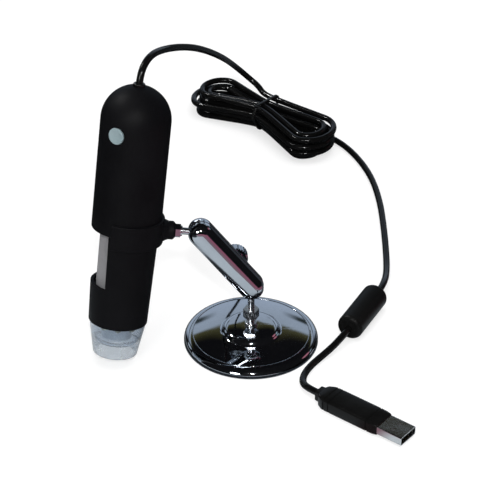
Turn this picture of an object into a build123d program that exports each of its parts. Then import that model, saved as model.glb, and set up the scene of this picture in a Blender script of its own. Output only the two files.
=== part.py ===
# USB digital microscope on its chrome ball-joint stand, with its cord.
# Millimetres. Origin at the centre of the base's underside, +Z up, +X to the right,
# +Y away from the viewer. The arm is split in one upright plane, and leans in it.

import os
from math import cos, dist, floor, pi, radians, sin, sqrt, tan

from build123d import *

os.makedirs("parts", exist_ok=True)

# Stand base
base_radius = 34.0
skirt_wall = 2.5
base_lift = 0.3
rim_height = 1.2
rim_width = 4.5
plate_edge_height = 4.7
hub_foot_radius = 15.7
hub_foot_height = 6.3
hub_top_margin = 1.05
hub_top_height = 9.5
hub_crown_radius = 60.0
hub_shoulder_place = 11.5
hub_shoulder_height = 9.0
hub_shoulder_radius = 4.1
hub_side_place = 14.4
hub_side_height = 7.2
hub_foot_sweep = 2.1
plate_crown_radius = 90.0
cover_wall = 1.6
hub_seat_margin = 1.0
hub_seat_height = 8.0
pad_inset = 1.0
pad_thickness = 1.5
pad_groove_depth = 0.4
pad_groove_width = 1.2
ballast_inset = 2.5
ballast_thickness = 1.6
ballast_boss_wall = 0.7

# Ball studs and their hexagons
stud_radius = 2.0
stud_clearance = 0.05
stud_hole_clearance = 0.2
neck_step = 0.25
ball_radius = 4.75
socket_clearance = 0.15
flange_radius = 3.15
flange_thickness = 1.5
lower_neck_length = 3.3
collar_across_flats = 7.0
collar_height = 4.7
ball_height = 33.0
base_nut_wall = 1.5
base_nut_thickness = 2.4
nut_recess_clearance = 0.2
upper_nut_wall = 1.1
upper_nut_thickness = 2.6
upper_shoulder_step = 0.6
upper_shoulder_thickness = 0.8
hex_chamfer = 0.4

# Arm
stand_turn = 3.4
arm_lean = 37.2
ball_to_ball = 41.0
socket_wall = 1.3
arm_face_wall = 1.6
arm_split_gap = 0.5
arm_edge_inset = 1.6
neck_slot_clearance = 0.35
slot_reach_share = 1.7
lower_swing = 60.0
upper_swing = 60.0
swing_margin = 3.0
clamp_place = 12.5
clamp_stud_reach = 4.5
clamp_thread_margin = 1.3
clamp_seat_radius = 4.2
clamp_seat_height = 0.4
clamp_dimple_radius = 2.6
clamp_dimple_depth = 0.5
washer_inset = 0.2
washer_thickness = 0.6
knob_step = 2.2
knob_height = 6.4
knob_chamfer = 0.7
knob_neck_radius = 4.4
knob_neck_height = 1.0
knurl_count = 28
knurl_width = 0.7
knurl_depth = 0.35

# Microscope and its holder
boss_drop = 6.85
scope_roll = 9.87
upper_neck_margin = 3.0
nozzle_narrowing = 3.2
nozzle_top_step = 0.4
nozzle_length = 17.6
nozzle_wall = 1.3
nozzle_bore_level = 10.4
nozzle_spigot_length = 6.4
nozzle_rounding = 0.35
shelf_lip = 0.4
shelf_level = 7.5
shelf_thickness = 1.2
fit_gap = 0.1
casing_radius = 17.0
casing_wall = 1.6
dome_level = 122.5
lower_narrowing = 1.5
lower_top_step = 0.9
lower_top_level = 66.8
joint_line = 0.2
spigot_gap = 0.2
spigot_wall = 1.4
spigot_length = 11.2
casing_rounding = 0.4
window_step = 2.0
window_angle = 114.0
ring_shelf_level = 34.5
ring_shelf_thickness = 1.5
ring_gap = 0.6
ring_wall = 2.0
ring_rest_gap = 0.05
ring_top_rise = 2.2
ring_end_gap = 0.1
rib_count = 60
rib_groove_width = 0.55
rib_groove_depth = 0.45
retainer_thickness = 1.5
retainer_clearance = 0.05
barrel_gap = 0.2
barrel_wall = 2.6
barrel_rise = 6.0
barrel_length = 32.0
barrel_lip = 1.4
barrel_lip_thickness = 1.0
lens_clearance = 0.05
lens_thickness = 3.2
lens_bulge = 1.2
lens_level_shares = (0.06, 0.42, 0.86)
screw_boss_radius = 2.0
screw_boss_inset = 3.0
screw_boss_length = 7.0
screw_count = 3
screw_radius = 0.8
screw_head_radius = 1.5
screw_head_height = 1.0
screw_length = 5.0
screw_hole_clearance = 0.1
board_thickness = 1.2
sensor_size = 8.0
sensor_thickness = 1.0
main_board_gap = 2.57
main_board_rise = 1.5
main_board_inset = 10.4
main_board_corner = 3.0
chip_thickness = 1.1
chip_small = 4.0
chip_large = 9.0
chip_spacing = 13.0

# Snapshot button and its switch
button_level = 118.3
button_azimuth = -124.0
button_radius = 4.0
button_hole_clearance = 0.3
button_proud = 0.3
button_dish_depth = 0.5
button_dish_radius = 3.1
button_edge = 0.4
button_flange_radius = 5.0
button_flange_gap = 0.17
button_flange_thickness = 0.8
button_stem_radius = 1.6
button_stem_gap = 0.7
switch_size = 6.0
switch_height = 3.5
switch_plunger_radius = 1.4
switch_plunger_length = 1.0

# Illumination in the nozzle
led_board_gap = 0.2
led_board_rise = 0.2
led_count = 8
led_circle_inset = 2.4
led_radius = 1.5
led_body_length = 3.2
bezel_step = 0.3
bezel_wall = 1.3
bezel_rise = 0.9

# Holder
band_below = 5.8
band_above = 6.9
band_wall = 1.25
band_wrap = 232.0
band_gap = 0.15
band_rounding = 0.5
flare_width = 16.0
flare_corner = 3.0
flare_sink = 0.17
flare_length = 2.2
boss_wall = 1.6
boss_length = 3.3
boss_chamfer = 1.1
insert_wall = 1.0
insert_clearance = 0.02
insert_margin = 0.2
insert_depth = 0.5
stud_margin = 0.3

# Cord and what is on it
cord_diameter = 3.5
end_run = 6.0
grommet_wall = 1.05
grommet_clearance = 0.1
grommet_flange_radius = 4.6
grommet_flange_thickness = 1.2
grommet_proud = 1.3
grommet_rounding_share = 0.6
ferrite_radius = 6.75
ferrite_rounding = 2.2
overmould_length = 39.0
overmould_side = 0.7
overmould_top = 1.25
overmould_tail_side = 2.25
overmould_tail_share = 0.16
overmould_rounding = 1.5
overmould_ridge_depth = 0.4
overmould_ridge_width = 0.9
overmould_ridge_shares = (0.2, 0.27, 0.34, 0.86)
shell_width = 12.0
shell_height = 4.5
shell_length = 19.0
shell_sunk = 5.0
shell_wall = 0.3
shell_hole = 2.0
shell_hole_spacing = 5.6
shell_hole_from_tip = 7.0
shell_corner = 0.6
tongue_thickness = 1.9
tongue_recess = 1.0
tongue_clearance = 0.1
contact_width = 1.2
contact_thickness = 0.2
contact_spacing = 2.2
contact_length = 8.0
contact_shares = (-1.5, -0.5, 0.5, 1.5)

# The hank: loops of cord laid in four layers and drawn in at the waist
hank_turns = 7
hank_centre = (9.0, 218.0)
hank_heading = -42.0
waist_gap = 1.2
lobe_gap = 2.3
layer_gap = 0.6
layers = 4
right_lobe = 34.5
left_lobe = 33.0
right_half_width = 9.0
left_half_width = 8.0
right_fan = 1.2
right_shift = 3.5
left_fan = 2.0
left_shift = 2.5
lead_step = 2.0
tie_thickness = 1.0
tie_width = 4.0
tie_gap = 0.1
end_share = 0.25
reverse_turns = 1.5
hank_turn_shares = (0, 0.15, 0.25, 0.35, 0.5, 0.65, 0.75, 0.85)

# Routes of the free cord, chosen by hand, points in millimetres
plug_start = (32.3, -49.0)
plug_end = (76.9, -84.9)
ferrite_in = (65.1, 30.2)
ferrite_out = (49.5, -0.1)
arch_route = [
    (-53.46, 8.8, 138.2),
    (-52.71, 10.05, 145.05),
    (-51.0, 14.6, 150.0),
    (-48.4, 21.4, 151.6),
    (-44.0, 33.0, 148.6),
    (-37.5, 52.0, 139.6),
    (-30.8, 77.0, 125.8),
    (-25.0, 106.0, 109.2),
    (-20.6, 137.0, 91.0),
    (-18.0, 168.0, 73.3),
    (-17.2, 195.0, 58.8),
    (-17.2, 213.0, 49.0),
    (-16.2, 225.4, 41.2),
    (-12.9, 233.4, 34.4),
    (-7.6, 238.5, 28.2),
    (-0.7, 240.2, 22.9),
    (5.6, 237.4, 17.8),
]
floor_route = [
    (30.2, 212.3, 2.1),
    (42.7, 207.7, 1.75),
    (54.5, 196.5, 1.75),
    (64.0, 178.0, 1.75),
    (70.8, 155.0, 1.75),
    (73.6, 129.0, 1.75),
    (74.0, 105.0, 1.75),
    (73.8, 84.0, 1.75),
    (73.2, 66.0, 1.9),
    (72.0, 53.0, 3.4),
    (70.3, 43.6, 5.8),
]
tail_route = [
    (41.0, -12.2, 4.3),
    (35.0, -17.8, 2.2),
    (29.5, -24.6, 1.75),
    (25.8, -32.2, 1.75),
    (25.0, -39.5, 2.3),
]

# Shares and overruns
cut = 2.0
bend_share = 0.45
samples_per_arc = 8
apart_diameters = 4
sector_shares = (-1, -0.5, 0, 0.5, 1)
parallel_tolerance = 1e-9

# Sizes that follow from those above: base and studs
hexagon_share = 1 / cos(pi / 6)
neck_radius = stud_radius - neck_step
base_nut_across_flats = 2 * (stud_radius + base_nut_wall)
upper_nut_across_flats = 2 * (stud_radius + upper_nut_wall)
upper_shoulder_radius = stud_radius + upper_shoulder_step
plate_edge_radius = base_radius - rim_width
pad_radius = base_radius - skirt_wall - pad_inset
ballast_radius = pad_radius - ballast_inset
ballast_boss_radius = (base_nut_across_flats / 2 + nut_recess_clearance) * hexagon_share + ballast_boss_wall
hub_top_radius = flange_radius + hub_top_margin
hub_seat_radius = ballast_boss_radius + hub_seat_margin

# Sizes that follow: arm and clamp
socket_radius = ball_radius + socket_clearance
arm_end_radius = socket_radius + socket_wall
arm_half_thickness = socket_radius + arm_face_wall
arm_edge_radius = arm_end_radius - arm_edge_inset
neck_slot_half_width = neck_radius + neck_slot_clearance
clamp_stud_end = arm_half_thickness + clamp_seat_height + washer_thickness + clamp_stud_reach
clamp_thread_depth = arm_half_thickness - clamp_thread_margin
washer_radius = clamp_seat_radius - washer_inset
knob_radius = knob_neck_radius + knob_step

# Sizes that follow: casings, nozzle and optics
casing_inner = casing_radius - casing_wall
lower_top_radius = casing_radius - lower_top_step
lower_bottom_radius = lower_top_radius - lower_narrowing
nozzle_top_radius = lower_bottom_radius - nozzle_top_step
nozzle_tip_radius = nozzle_top_radius - nozzle_narrowing
nozzle_spigot_radius = lower_bottom_radius - casing_wall - fit_gap
nozzle_bore_radius = nozzle_spigot_radius - nozzle_wall
shelf_radius = nozzle_tip_radius - nozzle_wall - shelf_lip
spigot_radius = casing_inner - spigot_gap
ring_radius = lower_bottom_radius - casing_wall - ring_gap
ring_bore = ring_radius - ring_wall
ring_shelf_bore = ring_bore + fit_gap
barrel_radius = ring_bore - barrel_gap
barrel_bore = barrel_radius - barrel_wall
barrel_lip_radius = barrel_bore - barrel_lip
screw_boss_circle = spigot_radius - screw_boss_inset
sensor_board_radius = spigot_radius - fit_gap
led_board_radius = nozzle_bore_radius - led_board_gap
led_circle = led_board_radius - led_circle_inset
led_board_bore = led_circle - led_circle_inset
bezel_radius = led_board_bore + bezel_step
bezel_bore = bezel_radius - bezel_wall

# Sizes that follow: levels on the microscope's line
clip_level = lower_top_level + joint_line
spigot_top_level = lower_top_level + spigot_length
ring_top_level = lower_top_level + ring_top_rise
band_bottom_level = lower_top_level - band_below
band_top_level = lower_top_level + band_above
ring_bottom_level = ring_shelf_level + ring_shelf_thickness + ring_rest_gap
window_bottom_level = ring_shelf_level + ring_shelf_thickness + window_step
barrel_bottom_level = nozzle_length + nozzle_spigot_length + barrel_rise
led_board_level = nozzle_length + led_board_rise
bezel_bottom_level = shelf_level + shelf_thickness + bezel_rise
main_board_top = dome_level + main_board_rise

# Sizes that follow: main board, switch and button
main_board_radial = casing_inner - main_board_inset
main_board_width = 2 * (sqrt(casing_inner**2 - main_board_radial**2) - main_board_gap)
switch_plunger_end = main_board_radial + switch_height + switch_plunger_length
button_stem_end = switch_plunger_end + button_stem_gap
button_flange_top = sqrt(casing_inner**2 - button_flange_radius**2) - button_flange_gap
button_face = casing_radius + button_proud

# Sizes that follow: holder, and the place of the upper ball
band_bore = casing_radius + band_gap
band_radius = band_bore + band_wall
flare_root = sqrt(band_bore**2 - (flare_width / 2) ** 2) - flare_sink
flare_end = band_radius + flare_length
boss_end = flare_end + boss_length
insert_radius = stud_radius + insert_wall
boss_radius = insert_radius + boss_wall
insert_start = band_radius + insert_margin
insert_length = boss_end - insert_start - insert_depth
stud_start = insert_start + stud_margin
reach = boss_end + upper_nut_thickness + upper_shoulder_thickness + arm_end_radius + upper_neck_margin

# Sizes that follow: plug and hank
overmould_width = shell_width + 2 * overmould_side
overmould_height = shell_height + 2 * overmould_top
overmould_tail_width = cord_diameter + 2 * overmould_tail_side
waist_pitch = cord_diameter + waist_gap
lobe_pitch = cord_diameter + lobe_gap
layer_pitch = cord_diameter + layer_gap


# Frames of the stand, the arm and the microscope
across = Vector(cos(radians(stand_turn)), sin(radians(stand_turn)), 0)
away = Vector(-sin(radians(stand_turn)), cos(radians(stand_turn)), 0)
up = Vector(0, 0, 1)

lower_ball = up * ball_height
arm_line = up * cos(radians(arm_lean)) - across * sin(radians(arm_lean))
upper_ball = lower_ball + arm_line * ball_to_ball
arm_plane = Plane(origin=lower_ball, x_dir=arm_line, z_dir=away)

stud_line = across * cos(radians(boss_drop)) - up * sin(radians(boss_drop))
scope_upright = across * sin(radians(boss_drop)) + up * cos(radians(boss_drop))
scope_line = scope_upright * cos(radians(scope_roll)) + away * sin(radians(scope_roll))
clip_centre = upper_ball - stud_line * reach
scope_tip = clip_centre - scope_line * clip_level

scope_profile = Plane(origin=scope_tip, x_dir=stud_line, z_dir=stud_line.cross(scope_line))
scope_axis = Axis(scope_tip, scope_line)
boss_axis = Axis(clip_centre, stud_line)
stand_profile = Plane(origin=(0, 0, 0), x_dir=across, z_dir=-away)


def scope_level(level):
    """The plane across the microscope at a level above its tip."""
    return Plane(origin=scope_tip + scope_line * level, x_dir=stud_line, z_dir=scope_line)


def boss_level(distance):
    """The plane across the holder's boss at a distance from the microscope's line."""
    return Plane(origin=clip_centre + stud_line * distance, x_dir=scope_line, z_dir=stud_line)


def button_direction():
    """The way that the button faces."""
    sideways = scope_line.cross(stud_line)
    angle = radians(button_azimuth)
    return stud_line * cos(angle) + sideways * sin(angle)


button_line = button_direction()
button_centre = scope_tip + scope_line * button_level
button_axis = Axis(button_centre, button_line)


def button_plane(radial):
    """The plane across the button's line at a distance from the microscope's line."""
    return Plane(origin=button_centre + button_line * radial, x_dir=scope_line, z_dir=button_line)


# Base: cover, ballast, pad, nut
cover_inner_radius = base_radius - skirt_wall
plate_under_edge = plate_edge_height - cover_wall
plate_under_foot = hub_foot_height - cover_wall
stud_hole_radius = stud_radius + stud_hole_clearance

with BuildPart() as base_disc:
    with BuildSketch(stand_profile):
        with BuildLine():
            Line((stud_hole_radius, hub_top_height), (hub_top_radius, hub_top_height))
            RadiusArc(
                (hub_top_radius, hub_top_height),
                (hub_shoulder_place, hub_shoulder_height),
                hub_crown_radius,
            )
            RadiusArc(
                (hub_shoulder_place, hub_shoulder_height),
                (hub_side_place, hub_side_height),
                hub_shoulder_radius,
            )
            RadiusArc(
                (hub_side_place, hub_side_height),
                (hub_foot_radius, hub_foot_height),
                -hub_foot_sweep,
            )
            RadiusArc(
                (hub_foot_radius, hub_foot_height),
                (plate_edge_radius, plate_edge_height),
                plate_crown_radius,
            )
            EllipticalCenterArc(
                (plate_edge_radius, rim_height),
                base_radius - plate_edge_radius,
                plate_edge_height - rim_height,
                start_angle=0,
                arc_size=90,
            )
            Polyline(
                (base_radius, rim_height),
                (base_radius, base_lift),
                (cover_inner_radius, base_lift),
                (cover_inner_radius, plate_under_edge - base_lift),
                (plate_edge_radius, plate_under_edge),
                (hub_foot_radius, plate_under_foot),
                (hub_seat_radius, plate_under_foot),
                (hub_seat_radius, hub_seat_height),
                (stud_hole_radius, hub_seat_height),
                (stud_hole_radius, hub_top_height),
            )
        make_face()
    revolve(axis=Axis.Z)
base_disc.part.label = "base_disc"

nut_recess_top = hub_seat_height - cover_wall - base_nut_thickness
nut_top = nut_recess_top
with BuildPart() as base_ballast:
    with BuildSketch(Plane.XY.offset(pad_thickness)):
        Circle(ballast_radius)
    extrude(amount=ballast_thickness)
    with BuildSketch(Plane.XY.offset(pad_thickness)):
        Circle(ballast_boss_radius)
    extrude(amount=hub_seat_height - pad_thickness)
    with BuildSketch(Plane.XY.offset(pad_thickness)):
        RegularPolygon(base_nut_across_flats / 2 + nut_recess_clearance, 6, major_radius=False)
    extrude(amount=nut_top - pad_thickness, mode=Mode.SUBTRACT)
    with BuildSketch(Plane.XY):
        Circle(stud_hole_radius)
    extrude(amount=hub_top_height, mode=Mode.SUBTRACT)
base_ballast.part.label = "base_ballast"

with BuildPart() as foot_pad:
    with BuildSketch():
        Circle(pad_radius)
    extrude(amount=pad_thickness)
    with BuildSketch():
        Circle(ballast_radius)
        Circle(ballast_radius - pad_groove_width, mode=Mode.SUBTRACT)
    extrude(amount=pad_groove_depth, mode=Mode.SUBTRACT)
foot_pad.part.label = "foot_pad"

with BuildPart() as base_nut:
    with BuildSketch(Plane.XY.offset(nut_top - base_nut_thickness)):
        RegularPolygon(base_nut_across_flats / 2, 6, major_radius=False)
        Circle(stud_radius + stud_clearance, mode=Mode.SUBTRACT)
    extrude(amount=base_nut_thickness)
base_nut.part.label = "base_nut"

# Lower ball stud: shank, flange, neck, hexagonal collar, neck, ball
stud_bottom = nut_top - base_nut_thickness
flange_top = hub_top_height + flange_thickness
collar_bottom = flange_top + lower_neck_length
with BuildPart() as base_stud:
    with BuildSketch(Plane.XY.offset(stud_bottom)):
        Circle(stud_radius)
    extrude(amount=hub_top_height - stud_bottom)
    with BuildSketch(Plane.XY.offset(hub_top_height)):
        Circle(flange_radius)
    extrude(amount=flange_thickness)
    fillet(base_stud.faces().sort_by(Axis.Z)[-1].edges(), hex_chamfer)
    with BuildSketch(Plane.XY.offset(hub_top_height)):
        Circle(neck_radius)
    extrude(amount=ball_height - hub_top_height)
    with BuildSketch(Plane.XY.offset(collar_bottom)):
        RegularPolygon(collar_across_flats / 2, 6, major_radius=False, rotation=stand_turn)
    extrude(amount=collar_height)
    with Locations(lower_ball):
        Sphere(ball_radius)
base_stud.part.label = "base_stud"


# Arm: two halves clamped on the balls, with slots for the necks
def slot_fan(first_angle, last_angle, length):
    """The area that a neck sweeps, with the slot's half width on both sides."""
    middle = (first_angle + last_angle) / 2
    for angle in (first_angle, middle, last_angle):
        with Locations(Rotation(0, 0, angle)):
            with Locations((length / 2, 0)):
                Rectangle(length, 2 * neck_slot_half_width)
    rim = length / cos(radians(last_angle - first_angle) / 4)
    corners = [(0, 0)]
    for share in sector_shares:
        angle = radians(middle + share * (last_angle - middle))
        corners.append((rim * cos(angle), rim * sin(angle)))
    Polygon(*corners, align=None)


lower_neck_angle = 180 + arm_lean
upper_neck_angle = arm_lean + boss_drop - 90
lower_slot_angles = (lower_neck_angle - lower_swing - swing_margin, lower_neck_angle + swing_margin)
upper_slot_angles = (upper_neck_angle - swing_margin, upper_neck_angle + upper_swing + swing_margin)
slot_reach = arm_end_radius * slot_reach_share
split_offset = arm_split_gap / 2
clamp_hole_radius = stud_radius + stud_hole_clearance
seat_offset = arm_half_thickness + clamp_seat_height


with BuildPart() as plain_half:
    with BuildSketch(arm_plane.offset(split_offset)):
        with Locations((ball_to_ball / 2, 0)):
            SlotCenterToCenter(ball_to_ball, 2 * arm_end_radius)
    extrude(amount=arm_half_thickness - split_offset)
    outer_face = plain_half.faces().sort_by(Axis(lower_ball, away))[-1]
    fillet(outer_face.edges(), arm_edge_radius)
    with Locations(Location(arm_plane), Location(Plane(upper_ball, arm_plane.x_dir, arm_plane.z_dir))):
        Sphere(socket_radius, mode=Mode.SUBTRACT)
    with BuildSketch(arm_plane):
        slot_fan(*lower_slot_angles, slot_reach)
        with Locations((ball_to_ball, 0)):
            slot_fan(*upper_slot_angles, slot_reach)
    extrude(amount=neck_slot_half_width, mode=Mode.SUBTRACT)

with BuildPart() as arm_front_shell:
    mirror(plain_half.part, about=arm_plane)
    with BuildSketch(arm_plane.offset(-clamp_thread_depth)):
        with Locations((clamp_place, 0)):
            Circle(clamp_hole_radius)
    extrude(amount=clamp_thread_depth, mode=Mode.SUBTRACT)
arm_front_shell.part.label = "arm_front_shell"

with BuildPart() as arm_back_shell:
    add(plain_half.part)
    with BuildSketch(arm_plane.offset(split_offset)):
        with Locations((clamp_place, 0)):
            Circle(clamp_seat_radius)
    extrude(amount=seat_offset - split_offset)
    with BuildSketch(arm_plane):
        with Locations((clamp_place, 0)):
            Circle(clamp_hole_radius)
    extrude(amount=seat_offset, mode=Mode.SUBTRACT)
arm_back_shell.part.label = "arm_back_shell"

with BuildPart() as clamp_stud:
    with BuildSketch(arm_plane.offset(-clamp_thread_depth)):
        with Locations((clamp_place, 0)):
            Circle(stud_radius)
    extrude(amount=clamp_thread_depth + clamp_stud_end)
clamp_stud.part.label = "clamp_stud"

with BuildPart() as clamp_washer:
    with BuildSketch(arm_plane.offset(seat_offset)):
        with Locations((clamp_place, 0)):
            Circle(washer_radius)
            Circle(clamp_hole_radius, mode=Mode.SUBTRACT)
    extrude(amount=washer_thickness)
clamp_washer.part.label = "clamp_washer"

knob_seat = seat_offset + washer_thickness
with BuildPart() as clamp_knob:
    with BuildSketch(arm_plane.offset(knob_seat)):
        with Locations((clamp_place, 0)):
            Circle(knob_neck_radius)
    extrude(amount=knob_neck_height)
    with BuildSketch(arm_plane.offset(knob_seat + knob_neck_height)):
        with Locations((clamp_place, 0)):
            Circle(knob_radius)
    extrude(amount=knob_height - knob_neck_height)
    round_edges = clamp_knob.edges().filter_by(GeomType.CIRCLE)
    chamfer(round_edges.filter_by(lambda edge: edge.radius > knob_neck_radius), knob_chamfer)
    with BuildSketch(arm_plane.offset(knob_seat + knob_neck_height)):
        with Locations((clamp_place, 0)):
            with PolarLocations(knob_radius, knurl_count):
                Rectangle(2 * knurl_depth, knurl_width)
    extrude(amount=knob_height - knob_neck_height, mode=Mode.SUBTRACT)
    with BuildSketch(arm_plane.offset(knob_seat)):
        with Locations((clamp_place, 0)):
            Circle(stud_radius + stud_clearance)
    extrude(amount=clamp_stud_end - knob_seat, mode=Mode.SUBTRACT)
    with BuildSketch(arm_plane.offset(knob_seat + knob_height)):
        with Locations((clamp_place, 0)):
            Circle(clamp_dimple_radius)
    extrude(amount=-clamp_dimple_depth, mode=Mode.SUBTRACT)
clamp_knob.part.label = "clamp_knob"

# Upper ball stud and its lock nut
nut_start = boss_end
shoulder_start = nut_start + upper_nut_thickness
neck_start = shoulder_start + upper_shoulder_thickness
with BuildPart() as upper_stud:
    with BuildSketch(boss_level(stud_start)):
        Circle(stud_radius)
    extrude(amount=neck_start - stud_start)
    with BuildSketch(boss_level(shoulder_start)):
        Circle(upper_shoulder_radius)
    extrude(amount=upper_shoulder_thickness)
    with BuildSketch(boss_level(shoulder_start)):
        Circle(neck_radius)
    extrude(amount=reach - shoulder_start)
    with Locations(upper_ball):
        Sphere(ball_radius)
upper_stud.part.label = "upper_stud"

with BuildPart() as upper_nut:
    with BuildSketch(boss_level(nut_start)):
        RegularPolygon(upper_nut_across_flats / 2, 6, major_radius=False)
        Circle(stud_radius + stud_clearance, mode=Mode.SUBTRACT)
    extrude(amount=upper_nut_thickness)
upper_nut.part.label = "upper_nut"


# Holder: C-shaped clip, its flare and boss, and the insert that takes the stud
def sector(radius, half_angle, facing, mode=Mode.ADD):
    """A wedge from the centre, wide enough to pass the given radius."""
    far = radius / cos(radians(half_angle) / 2)
    corners = [(0, 0)]
    for share in sector_shares:
        angle = radians(facing + share * half_angle)
        corners.append((far * cos(angle), far * sin(angle)))
    Polygon(*corners, align=None, mode=mode)


band_height = band_top_level - band_bottom_level
lower_bore = lower_top_radius + band_gap
flare_height = band_height - 2 * band_rounding
with BuildPart() as holder_clip:
    with BuildSketch(scope_level(band_bottom_level)):
        Circle(band_radius)
        sector(band_radius + cut, (360 - band_wrap) / 2, 180, Mode.SUBTRACT)
    extrude(amount=band_height)
    fillet(holder_clip.edges(), band_rounding)
    with BuildSketch(boss_level(flare_root)):
        RectangleRounded(flare_height, flare_width, flare_corner)
    with BuildSketch(boss_level(flare_end)):
        Circle(boss_radius)
    loft()
    with BuildSketch(boss_level(flare_end)):
        Circle(boss_radius)
    extrude(amount=boss_end - flare_end)
    boss_rim = holder_clip.edges().filter_by(GeomType.CIRCLE).sort_by(boss_axis)[-1]
    chamfer(boss_rim, boss_chamfer)
    with BuildSketch(scope_level(band_bottom_level)):
        Circle(lower_bore)
    extrude(amount=band_height, mode=Mode.SUBTRACT)
    with BuildSketch(scope_level(lower_top_level)):
        Circle(band_bore)
    extrude(amount=band_top_level - lower_top_level, mode=Mode.SUBTRACT)
    with BuildSketch(boss_level(insert_start)):
        Circle(insert_radius + insert_clearance)
    extrude(amount=reach - insert_start, mode=Mode.SUBTRACT)
holder_clip.part.label = "holder_clip"

with BuildPart() as boss_insert:
    with BuildSketch(boss_level(insert_start)):
        Circle(insert_radius)
        Circle(stud_radius + stud_clearance, mode=Mode.SUBTRACT)
    extrude(amount=insert_length)
boss_insert.part.label = "boss_insert"


# Clear nozzle at the lens end, with its spigot and inner shelf
nozzle_inner_tip = nozzle_tip_radius - nozzle_wall
nozzle_taper = (nozzle_bore_radius - nozzle_inner_tip) / nozzle_bore_level
shelf_top = shelf_level + shelf_thickness
spigot_top = nozzle_length + nozzle_spigot_length
with BuildPart() as clear_nozzle:
    with BuildSketch(scope_profile):
        with BuildLine():
            Polyline(
                (nozzle_inner_tip, 0),
                (nozzle_tip_radius, 0),
                (nozzle_top_radius, nozzle_length),
                (nozzle_spigot_radius, nozzle_length),
                (nozzle_spigot_radius, spigot_top),
                (nozzle_bore_radius, spigot_top),
                (nozzle_bore_radius, nozzle_bore_level),
                (nozzle_inner_tip + nozzle_taper * shelf_top, shelf_top),
                (shelf_radius, shelf_top),
                (shelf_radius, shelf_level),
                (nozzle_inner_tip + nozzle_taper * shelf_level, shelf_level),
                (nozzle_inner_tip, 0),
            )
        make_face()
    revolve(axis=scope_axis)
    fillet(clear_nozzle.edges().group_by(scope_axis)[0], nozzle_rounding)
clear_nozzle.part.label = "clear_nozzle"

# Ring of lamps inside the nozzle: board, lamps, black bezel
with BuildPart() as led_ring_board:
    with BuildSketch(scope_level(led_board_level)):
        Circle(led_board_radius)
        Circle(led_board_bore, mode=Mode.SUBTRACT)
    extrude(amount=board_thickness)
led_ring_board.part.label = "led_ring_board"

lamp_cylinder = led_body_length - led_radius
with BuildPart() as leds:
    with BuildSketch(scope_level(led_board_level - lamp_cylinder)):
        with PolarLocations(led_circle, led_count):
            Circle(led_radius)
    extrude(amount=lamp_cylinder)
    with Locations(scope_level(led_board_level - lamp_cylinder)):
        with PolarLocations(led_circle, led_count):
            Sphere(led_radius)
leds.part.label = "leds"

bezel_flange = led_circle - led_radius - fit_gap
with BuildPart() as led_bezel:
    with BuildSketch(scope_profile):
        with BuildLine():
            Polyline(
                (bezel_bore, bezel_bottom_level),
                (bezel_radius, bezel_bottom_level),
                (bezel_flange, led_board_level),
                (bezel_bore, led_board_level),
                close=True,
            )
        make_face()
    revolve(axis=scope_axis)
led_bezel.part.label = "led_bezel"

# Lower casing: tapered tube with a window for the focus ring and an upper spigot
taper = (lower_top_radius - lower_bottom_radius) / (lower_top_level - nozzle_length)
spigot_bore = spigot_radius - spigot_wall


def lower_outer(level):
    """The lower casing's outer radius at a level."""
    return lower_bottom_radius + taper * (level - nozzle_length)


ring_shelf_top = ring_shelf_level + ring_shelf_thickness
step_level = lower_top_level - casing_wall
with BuildPart() as lower_casing:
    with BuildSketch(scope_profile):
        with BuildLine():
            Polyline(
                (lower_outer(nozzle_length), nozzle_length),
                (lower_outer(lower_top_level), lower_top_level),
                (spigot_radius, lower_top_level),
                (spigot_radius, spigot_top_level),
                (spigot_bore, spigot_top_level),
                (spigot_bore, lower_top_level),
                (lower_outer(step_level) - casing_wall, step_level),
                (lower_outer(ring_shelf_top) - casing_wall, ring_shelf_top),
                (ring_shelf_bore, ring_shelf_top),
                (ring_shelf_bore, ring_shelf_level),
                (lower_outer(ring_shelf_level) - casing_wall, ring_shelf_level),
                (lower_outer(nozzle_length) - casing_wall, nozzle_length),
                close=True,
            )
        make_face()
    revolve(axis=scope_axis)
    with BuildSketch(scope_level(window_bottom_level)):
        sector(casing_radius + cut, window_angle / 2, 180)
        Circle(ring_radius, mode=Mode.SUBTRACT)
    extrude(amount=lower_top_level - window_bottom_level, mode=Mode.SUBTRACT)
    with BuildSketch(scope_level(spigot_top_level - screw_boss_length)):
        with PolarLocations(screw_boss_circle, screw_count):
            Circle(screw_boss_radius)
    extrude(amount=screw_boss_length)
    with BuildSketch(scope_level(spigot_top_level - screw_length)):
        with PolarLocations(screw_boss_circle, screw_count):
            Circle(screw_radius + screw_hole_clearance)
    extrude(amount=screw_length, mode=Mode.SUBTRACT)
lower_casing.part.label = "lower_casing"

# Focus ring with its ribs, and the ring that keeps it in
with BuildPart() as focus_ring:
    with BuildSketch(scope_level(ring_bottom_level)):
        Circle(ring_radius)
        Circle(ring_bore, mode=Mode.SUBTRACT)
        with PolarLocations(ring_radius, rib_count):
            Rectangle(2 * rib_groove_depth, rib_groove_width, mode=Mode.SUBTRACT)
    extrude(amount=ring_top_level - ring_end_gap - ring_bottom_level)
focus_ring.part.label = "focus_ring"

with BuildPart() as ring_retainer:
    with BuildSketch(scope_level(ring_top_level)):
        Circle(spigot_bore - retainer_clearance)
        Circle(ring_shelf_bore, mode=Mode.SUBTRACT)
    extrude(amount=retainer_thickness)
ring_retainer.part.label = "ring_retainer"

# Lens barrel and its elements
with BuildPart() as lens_barrel:
    with BuildSketch(scope_level(barrel_bottom_level)):
        Circle(barrel_radius)
        Circle(barrel_bore, mode=Mode.SUBTRACT)
    extrude(amount=barrel_length)
    with BuildSketch(scope_level(barrel_bottom_level)):
        Circle(barrel_radius)
        Circle(barrel_lip_radius, mode=Mode.SUBTRACT)
    extrude(amount=barrel_lip_thickness)
lens_barrel.part.label = "lens_barrel"

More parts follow.
